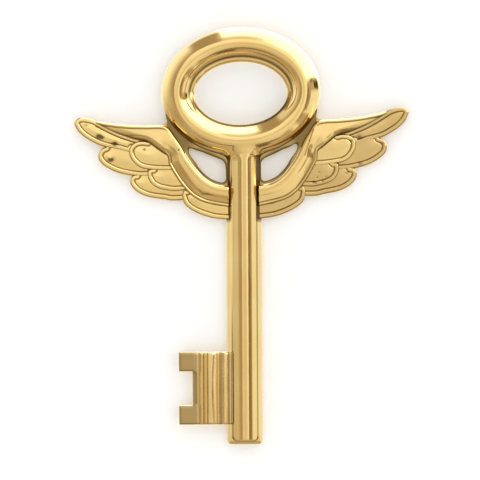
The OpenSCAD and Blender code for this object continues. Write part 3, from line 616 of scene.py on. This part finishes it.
def feather(side, key):
    """Feather: flat with a slight crown and a tilt. From its free edge inwards it rolls up, rises to a round rim
    and dips into a fine groove, each a bell or a decay of the distance to that edge. Dents are soft dimples. The
    higher the piece, the higher its back by a tenth of a millimetre, so that no two backs share a plane."""
    rows, top, upper_from, lower_from = FEATHERS[key]
    x, y, _, _ = ribbon(rows, shares(120, False), shares(76))
    d = reach(x, y, free_edge(rows, upper_from, lower_from))
    h = top + 0.4 * (1 - np.exp(-(d / 6.0) ** 2)) - 1.5 * np.exp(-d / 0.3)
    h += 0.38 * np.clip(1 - ((d - 1.5) / 1.5) ** 4, 0, 1) - 0.36 * bump(d, 3.2, 0.36)
    out, up = TILTS[side]
    h += out * (x - x.mean()) + up * (y - y.mean())
    # painted shade in the fine groove and along the free edge
    grooves = 0.85 * bump(d, 3.2, 0.36) + 0.8 * np.exp(-((d / 0.55) ** 2))
    for dx, dy, r, deep, dark in DENTS.get((side, key), ()):
        pit = np.exp(-((x - dx) ** 2 / DENT_STRETCH + (y - dy) ** 2) / r**2)
        h -= deep * pit
        grooves += dark * pit
    grooves = np.clip(grooves, 0, 1).ravel()
    back = np.full(h.shape, PLATE + 0.1 * (top - 4))
    return casting(f"{HANDS[side]}_{key}_casting", [slab(leaning(side * x, y, h), leaning(side * x, y, back))],
                   [np.concatenate([grooves, 0 * grooves])])


def closed(points, count):
    """A closed outline as evenly many points round it, with its corners kept."""
    ring = np.array([*points, points[0]], float)
    along = np.concatenate([[0], np.cumsum(np.hypot(*np.diff(ring, axis=0).T))])
    place = np.linspace(0, along[-1], count)
    return np.stack([np.interp(place, along, ring[:, 0]), np.interp(place, along, ring[:, 1])], 1)


def make_web(side):
    """Low web beside the bow, seen round the window: for each direction from the window's middle, a strip from
    the window's edge, which is rounded, to the web's outline. It is painted with shade: dark beside the window,
    dimmer further off and dark again towards the apex between bow and arm, where the deep corner lies in shade."""
    window = [*WINDOW_TOP, *WINDOW_CORNER[side], *WINDOW_LOW]
    inner = through([*window, window[0]], np.linspace(0, 1, 420)) - WINDOW_MIDDLE
    outer = closed(WEB, 1200) - WINDOW_MIDDLE
    outer_turn = np.arctan2(outer[:, 1], outer[:, 0])
    order = np.argsort(outer_turn)
    turn = np.arctan2(inner[:, 1], inner[:, 0])
    far = np.interp(turn, outer_turn[order], np.hypot(*outer[order].T), period=2 * math.pi)
    near = np.hypot(*inner.T)
    t = np.concatenate([[0, 0.01, 0.03], np.linspace(0.06, 1, 14)])[None]
    r = near[:, None] + np.maximum(far - near, 0.3)[:, None] * t
    x, y = WINDOW_MIDDLE[0] + r * np.cos(turn)[:, None], WINDOW_MIDDLE[1] + r * np.sin(turn)[:, None]
    h = WEB_TOP - 0.8 * np.exp(-t / 0.02) + 0 * x
    part = slab(leaning(side * x, y, h), leaning(side * x, y, np.full(h.shape, WEB_BACK)))
    # painted shade: dark beside the window, and a dimmer painted shade on the back
    beside_window = 0.48 + 0.52 * np.exp(-(((r - near[:, None]) / 1.7) ** 4))
    shade = np.maximum(beside_window, 0.85 * step(x + y, -12, 4)).ravel()
    return part, np.concatenate([shade, 0 * shade + 0.4])


def make_arm(side):
    """Arm and crescent: one ribbon. The arm is broad and flat behind a beaded leading edge, and rolls off at its
    lower edge. Where it turns down it becomes a crescent: steep inwards, a soft crest, a fall outwards to a bead.
    A low web joins it to the bow. All are sums of bells, decays and smooth steps of the distances to the edges."""
    along, across = np.linspace(0, 1, 280), shares(120)
    x, y, a, b = ribbon(ARM, along, across)
    s = along[:, None]
    d_in, d_out = reach(x, y, a), reach(x, y, b)
    turned = step(s, 0.36, 0.60)
    taper = step(s, 0.0, 0.26)
    bead = 1 - step(s, 0.36, 0.44)
    roll = np.sqrt(1 - (1 - np.clip(d_in / 2.6, 0, 1)) ** 2)
    # arm: leading bead, dark line, flat top that tilts down and outwards, rounded fall at the lower edge
    arm = 8.1 + 1.7 * taper - 0.085 * (y + 24) * taper
    arm += (0.45 * bump(d_in, 1.2, 0.8) - 0.35 * bump(d_in, 2.5, 0.3)) * bead
    arm -= 1.9 * np.exp(-d_in / 0.35) * bead + 3.0 * (1 - roll) * (1 - bead)
    arm -= 3.0 * taper * (1 - np.clip(d_out / 3.8, 0, 1)) ** 1.4
    # crescent: its crest close to the inner edge, a long fall outwards, and the outer bead
    even, steeper = FALLS[side]
    fallen = np.clip(5.2 - (d_out - 1.8), 0, 5.2)
    crescent = 10.8 - 4.4 * np.exp(-d_in / 0.5) - 0.036 * (np.minimum(d_in, 7.6) - 3.6) ** 2
    crescent -= even * fallen + steeper * fallen**2
    edge = CRESCENT_FOOT[side] + 0.35 * bump(d_out, 1.1, 0.7) - 0.4 * bump(d_out, 2.35, 0.28)
    edge -= 1.3 * np.exp(-d_out / 0.3)
    crescent = crescent + (edge - crescent) * (1 - step(d_out, 1.8, 2.9))
    h = arm * (1 - turned) + crescent * turned
    # beside the shank's axis the crescent sinks out of sight
    sunk = 5
    end = step(np.abs(from_bow(side * x, y)[0]), 8.8, 10.2)
    h = sunk + (h - sunk) * end
    # painted shade along the bead's line, the outer bead's line, both edges, the sunk end beside the shank and the
    # trough under the arm's lower edge
    grooves = 0.8 * bump(d_in, 2.5, 0.3) * bead + 0.8 * bump(d_out, 2.35, 0.3) * turned
    grooves += 0.6 * np.exp(-((d_in / 0.45) ** 2)) + 0.8 * np.exp(-((d_out / 0.8) ** 2)) + 0.9 * (1 - end)
    grooves += 0.7 * np.exp(-((d_out / 1.7) ** 2)) * taper * (1 - turned)
    for sx, sy, ex, ey, r, deep in STROKES[side]:
        mark = np.exp(-((reach(x, y, np.array([(sx, sy), (ex, ey)])) / r) ** 2))
        h -= deep * mark
        grooves += 0.9 * mark
    body = slab(leaning(side * x, y, h), leaning(side * x, y, np.full(h.shape, PLATE)))
    web, web_shade = make_web(side)
    grooves = np.clip(grooves, 0, 1).ravel()
    return casting(f"{HANDS[side]}_arm_casting", [body, web], [np.concatenate([grooves, 0 * grooves]), web_shade])


# Finishes

class Nodes:
    """Shader nodes of a material or world, and short ways to make the common ones. What feeds an input is a number,
    a colour or another node's output."""

    def __init__(self, owner):
        owner.use_nodes = True
        self.all, self.links = owner.node_tree.nodes, owner.node_tree.links

    def feed(self, socket, value):
        """Sets an input, or joins an output to it."""
        if isinstance(value, bpy.types.NodeSocket):
            self.links.new(value, socket)
        else:
            socket.default_value = (*value, 1) if isinstance(value, tuple) else value

    def fed(self, node, inputs, output=0):
        """The node's output, once its inputs are fed."""
        for key, value in inputs.items():
            self.feed(node.inputs[key], value)
        return node.outputs[output]

    def made(self, kind, inputs, output=0):
        """The output of a new node with these inputs."""
        return self.fed(self.all.new(kind), inputs, output)

    def noise(self, place, scale, detail=2.0, rough=0.5):
        inputs = {"Vector": place, "Scale": scale, "Detail": detail, "Roughness": rough}
        return self.made("ShaderNodeTexNoise", inputs, "Fac")

    def math(self, operation, *values):
        node = self.all.new("ShaderNodeMath")
        node.operation = operation
        return self.fed(node, dict(enumerate(values)))

    def mapped(self, value, low, high, to_low=0.0, to_high=1.0, kind="SMOOTHSTEP"):
        """What lies between low and high, carried over to what lies between two other values."""
        node = self.all.new("ShaderNodeMapRange")
        node.interpolation_type = kind
        return self.fed(node, {"Value": value, "From Min": low, "From Max": high, "To Min": to_low,
                               "To Max": to_high})

    def window(self, value, low, high, soft):
        """1 between low and high and 0 beyond, with edges that take soft to fade."""
        half = soft / 2
        return self.math("MULTIPLY", self.mapped(value, low - half, low + half),
                         self.mapped(value, high - half, high + half, 1, 0))

    def over(self, below, mask, level):
        """A level laid over what is below, where the mask is 1."""
        node = self.all.new("ShaderNodeMix")
        node.data_type = "FLOAT"
        return self.fed(node, {0: mask, 2: below, 3: level})

    def tinted(self, below, mask, colour):
        """A colour laid over what is below, where the mask is 1."""
        node = self.all.new("ShaderNodeMix")
        node.data_type = "RGBA"
        return self.fed(node, {0: mask, 6: below, 7: colour}, 2)


# Brass seen edge-on, painted paler as a painted sheen, and the tone that brass is painted in grooves, seams and
# shaded corners as painted shade, where it is also duller
GLANCE = (1.0, 0.88, 0.48)
PAINTED_SHADE_TONE = (0.14, 0.078, 0.02)
ROUGHER_IN_SHADE = 0.25


def brass(name, tone, deep, rough, waves, grain, darkest_shade=0.95):
    """Polished cast brass: a tone that wanders between two, painted paler edge-on as a painted sheen, with uneven
    polish, slow waves and fine grain of so many metres in the surface, and painted shade that makes it darker
    and duller in grooves, seams and shaded corners."""
    m = bpy.data.materials.new(name)
    g = Nodes(m)
    place = g.made("ShaderNodeTexCoord", {}, "Object")
    groove = g.all.new("ShaderNodeAttribute")
    groove.attribute_name = "groove"
    # painted shade: how far each point is painted darker and made duller, up to the darkest share
    deepening = g.mapped(groove.outputs["Fac"], 0, 1, 0, darkest_shade, "LINEAR")
    colour = g.tinted(tone, g.mapped(g.noise(place, 34, 3), 0.3, 0.7, kind="LINEAR"), deep)
    # painted sheen: faces seen edge-on are painted paler
    colour = g.tinted(colour, g.made("ShaderNodeLayerWeight", {"Blend": 0.25}, "Facing"), GLANCE)
    polish = g.mapped(g.noise(place, 60, 4, 0.6), 0.3, 0.75, rough * 0.7, rough * 1.5, "LINEAR")
    slow = g.made("ShaderNodeBump", {"Strength": 1, "Distance": waves, "Height": g.noise(place, 70)}, "Normal")
    fine = {"Strength": 1, "Distance": grain, "Height": g.noise(place, 900), "Normal": slow}
    g.fed(g.all["Principled BSDF"], {
        "Metallic": 1,
        "Base Color": g.tinted(colour, deepening, PAINTED_SHADE_TONE),
        "Roughness": g.math("MULTIPLY_ADD", deepening, ROUGHER_IN_SHADE, polish),
        "Normal": g.made("ShaderNodeBump", fine, "Normal"),
    })
    return m


def screw_steel():
    """Plain bright steel of the screws and pins: a slightly uneven grey with fine turning grain."""
    m = bpy.data.materials.new("screw_steel")
    g = Nodes(m)
    grain = g.noise(g.made("ShaderNodeTexCoord", {}, "Object"), 1400)
    colour = g.tinted((0.42, 0.41, 0.39), grain, (0.62, 0.61, 0.59))
    g.fed(g.all["Principled BSDF"], {"Metallic": 1, "Base Color": colour, "Roughness": 0.32})
    return m


POLISHED = brass("polished_brass", (0.93, 0.70, 0.31), (0.88, 0.62, 0.25), 0.12, 0.00012, 0.000006)
FEATHERED = brass("feather_brass", (0.97, 0.735, 0.33), (0.93, 0.67, 0.27), 0.15, 0.00014, 0.000008)
# darker copy of the feather brass, as painted shade, and rougher
SHADED_SATIN = brass("shaded_satin_brass", (0.80, 0.58, 0.26), (0.73, 0.51, 0.21), 0.19, 0.00014, 0.000008)
FILED = brass("filed_brass", (0.95, 0.70, 0.33), (0.83, 0.59, 0.26), 0.24, 0.00016, 0.000014, 0.8)
SHEET = brass("sheet_brass", (0.80, 0.60, 0.28), (0.72, 0.52, 0.22), 0.30, 0.00004, 0.00001, 0.5)
STEEL = screw_steel()


def finish(piece, node, material):
    """Hangs a piece on the key in place of a CAD node, with its finish."""
    piece.data.materials.clear()
    piece.data.materials.append(material)
    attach(piece, "root")
    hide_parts(node)


finish(make_bow(), "bow_ring", POLISHED)
finish(make_shank(), "shank", POLISHED)
finish(make_bit(), "bit", FILED)
for side, hand in HANDS.items():
    finish(make_arm(side), f"{hand}_wing_arm", POLISHED)
    for key in FEATHERS:
        # the right wing mirrors dimmer things, so its feathers take a darker, rougher copy of the brass as painted
        # shade, except its upper covert
        look = FEATHERED if side < 0 or key == "upper_covert" else SHADED_SATIN
        finish(feather(side, key), f"{hand}_{key}" if "covert" in key else f"{hand}_{key}_feather", look)
# plates, screws, stud and pins keep the CAD's shapes
for name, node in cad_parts.items():
    if "plate" in name:
        node.data.materials.clear()
        node.data.materials.append(SHEET)
    elif "screws" in name or name in ("bow_stud", "bit_pins"):
        node.data.materials.clear()
        node.data.materials.append(STEEL)


# Wall, floor, light and camera

def make_wall():
    """White wall and floor in one sweep: straight down behind the key, a quarter turn, and level towards the
    viewer. Seen from behind it is clear, so that the key's back shows."""
    back, top, floor, bend, near, half_w = 0.8 * MM, 1.6, -0.42, 0.12, -2.4, 2.4
    turn = np.linspace(0, math.pi / 2, 24)
    curve = np.stack([back - bend * (1 - np.cos(turn)), floor + bend * (1 - np.sin(turn))], 1)
    path = np.concatenate([[(back, top)], curve, [(near, floor)]])
    x = np.linspace(-half_w, half_w, 3)
    p = np.stack([np.repeat(x[None], len(path), 0), np.repeat(path[:, :1], 3, 1), np.repeat(path[:, 1:], 3, 1)], -1)
    mesh = bpy.data.meshes.new("wall")
    mesh.from_pydata(p.reshape(-1, 3).tolist(), [], quads(len(path), 3)[:, ::-1].tolist())
    mesh.polygons.foreach_set("use_smooth", np.ones(len(mesh.polygons), bool))
    m = bpy.data.materials.new("white_wall")
    g = Nodes(m)
    g.all.clear()
    white = g.made("ShaderNodeBsdfDiffuse", {"Color": (0.93, 0.925, 0.915)})
    behind = g.made("ShaderNodeNewGeometry", {}, "Backfacing")
    look = g.made("ShaderNodeMixShader", {0: behind, 1: white, 2: g.made("ShaderNodeBsdfTransparent", {})})
    g.feed(g.all.new("ShaderNodeOutputMaterial").inputs["Surface"], look)
    mesh.materials.append(m)
    wall = add_object("wall", mesh)
    wall.visible_glossy = False
    wall.visible_shadow = False


# What the brass mirrors, in degrees: a level, from and to and softness round the viewer's direction (0 to the
# right, 90 up), then from and to and softness away from it
PANELS = [
    (0.92, -22, 4, 4, 58, 140, 12),
    (0.35, -32, 0, 8, 30, 52, 5),
    (0.95, -25, -21.5, 2, 38, 112, 8),
    (1.00, -47, -40, 5, 33, 80, 8),
    (0.25, -57, -26, 6, 86, 104, 6),
    (0.15, 275, 291, 5, 60, 82, 8),
    (0.12, 236, 247, 4, 42, 60, 6),
    (0.22, 236, 244, 4, 85, 105, 6),
    (0.24, -14, 12, 5, 25, 41, 4),
    (0.12, 14, 22, 3, 58, 84, 8),
    (0.05, 6, 15, 3, 88, 130, 6),
    (0.40, 102, 124, 5, 38, 118, 8),
]


# Colours of the room by brightness: dim parts are warm, as brass mirrors brass, and bright ones near white
TINTS = [(0.10, (1.0, 0.73, 0.46)), (0.19, (1.0, 0.82, 0.59)), (0.29, (1.0, 0.95, 0.82)), (0.42, (1.0, 0.98, 0.91)),
         (0.8, (1.0, 1.0, 0.98))]
TINTS_END = 2.4
# Strength of the room, and of the even light on all but the brass
ROOM_LIGHT, EVEN_LIGHT = 1.06, 1.12


def room_level(g, dx, dy, dz):
    """How bright the room is in each direction: layers laid one over another, by the angle away from the viewer's
    direction and the turn round it."""
    away = g.math("MULTIPLY", g.math("ARCCOSINE", g.math("MULTIPLY", dy, -1.0)), 180 / math.pi)
    turn = g.math("MULTIPLY", g.math("ARCTAN2", dz, dx), 180 / math.pi)
    # the turn runs from -60 to 300, so that no layer is cut in two
    turn = g.math("SUBTRACT", g.math("MODULO", g.math("ADD", turn, 420.0), 360.0), 60.0)
    # brown room below, pale room to the left, both uneven
    streak = g.made("ShaderNodeCombineXYZ", {0: g.math("MULTIPLY", turn, 0.03), 1: g.math("MULTIPLY", away, 0.10)})
    level = g.mapped(g.noise(streak, 1.0), 0.3, 0.7, 0.40, 0.60)
    left = g.math("MULTIPLY", g.mapped(turn, 119, 129), g.mapped(turn, 160, 205, 1, 0))
    level = g.over(level, left, g.mapped(away, 36, 112, 0.42, 1.12))
    # what lies past the key's sides, close to the wall
    edge = 0.50
    for low, high, bright in ((-34, -14, 1.1), (26, 32, 2.1), (99, 103, 1.05), (176, 204, 0.50)):
        edge = g.over(edge, g.mapped(turn, low, high), bright)
    level = g.over(level, g.mapped(away, 116, 136), edge)
    for bright, *box in PANELS:
        level = g.over(level, g.math("MULTIPLY", g.window(turn, *box[:3]), g.window(away, *box[3:])), bright)
    # the soft box, which is dimmer along its upper edge near the card
    near_top = g.math("MULTIPLY", g.mapped(turn, 64, 82), g.mapped(away, 50, 80, 1, 0))
    soft_box = g.math("MULTIPLY", g.window(turn, 19, 102.5, 2.5), g.mapped(away, 24, 34))
    level = g.over(level, soft_box, g.over(2.3, near_top, 0.85))
    # the card, brighter towards the box, with a dark lower edge and a dim middle where the camera stands
    front = g.math("LESS_THAN", dy, 0.0)
    wide = g.math("MULTIPLY", front, g.window(dx, -0.44, 0.44, 0.03))
    slope = g.math("ADD", g.math("MULTIPLY", dx, 0.30), g.math("MULTIPLY", dz, 0.42))
    pale = g.math("ADD", 0.93, slope)
    level = g.over(level, g.math("MULTIPLY", wide, g.window(dz, -0.80, -0.74, 0.03)), 0.2)
    card = g.over(g.math("MULTIPLY", pale, 0.80), g.mapped(away, 4, 14), pale)
    level = g.over(level, g.math("MULTIPLY", wide, g.window(dz, -0.74, 0.56, 0.03)), card)
    # the camera's lens, a dark spot
    lens_x, lens_z = g.math("ADD", dx, 0.004), g.math("ADD", dz, -0.033)
    square = g.math("ADD", g.math("MULTIPLY", lens_x, lens_x), g.math("MULTIPLY", lens_z, lens_z))
    lens = g.mapped(g.math("SQRT", square), 0.009, 0.014, 1, 0)
    return g.over(level, g.math("MULTIPLY", lens, front), 0.06)


def make_studio():
    """The room that the brass mirrors: a pale card in front with a dim middle, a large soft box above right, a pale
    room to the left, warm brown below, and dark and light strokes of things that stand about. Only the brass
    mirrors it: the wall gets even light, and past the wall all is plain white."""
    world = bpy.data.worlds.new("studio")
    bpy.context.scene.world = world
    g = Nodes(world)
    g.all.clear()
    split = g.all.new("ShaderNodeSeparateXYZ")
    g.feed(split.inputs[0], g.made("ShaderNodeTexCoord", {}, "Generated"))
    level = room_level(g, *split.outputs)
    tint = g.all.new("ShaderNodeValToRGB")
    for _ in TINTS[2:]:
        tint.color_ramp.elements.new(0.5)
    for stop, (place, tone) in zip(tint.color_ramp.elements, TINTS):
        stop.position = place
        stop.color = (*tone, 1)
    colour = g.fed(tint, {"Fac": g.math("MULTIPLY", level, 1 / TINTS_END)}, "Color")
    room = g.made("ShaderNodeBackground", {"Color": colour, "Strength": g.math("MULTIPLY", level, ROOM_LIGHT)})
    even = g.made("ShaderNodeBackground", {"Color": (1.0, 1.0, 1.0), "Strength": EVEN_LIGHT})
    mirrored = g.made("ShaderNodeLightPath", {}, "Is Glossy Ray")
    look = g.made("ShaderNodeMixShader", {0: mirrored, 1: even, 2: room})
    g.feed(g.all.new("ShaderNodeOutputWorld").inputs["Surface"], look)


def soft_light(name, place, target, size, watts):
    """Square soft light that whitens the wall and casts its soft shadows, and that the brass doesn't mirror."""
    data = bpy.data.lights.new(name, "AREA")
    data.shape, data.size, data.energy = "SQUARE", size, watts
    light = add_object(name, data)
    light.location = place
    aim = np.array(target) - np.array(place)
    light.rotation_euler = (math.acos(-aim[2] / np.linalg.norm(aim)), 0, math.atan2(aim[1], aim[0]) - math.pi / 2)
    light.visible_glossy = False
    light.visible_camera = False


def make_camera():
    """Camera straight before the key, turned by a third of a degree. Its picture is as wide as view at the middle
    of the key's depth."""
    distance, middle, view, sensor = 1.6, 0.007, 0.320, 36.0
    lens = bpy.data.cameras.new("camera")
    lens.sensor_width, lens.lens = sensor, sensor * (distance - middle) / view
    camera = add_object("camera", lens)
    camera.location = (-0.15 * MM, -distance, -128.1 * MM)
    camera.rotation_euler = (math.pi / 2, math.radians(0.3), 0)
    bpy.context.scene.camera = camera


make_wall()
make_studio()
soft_light("wall_light", (0.45, -1.3, 0.55), (0, 0, -0.12), 0.5, 0.8)
make_camera()
bpy.context.scene.view_settings.view_transform = "Standard"
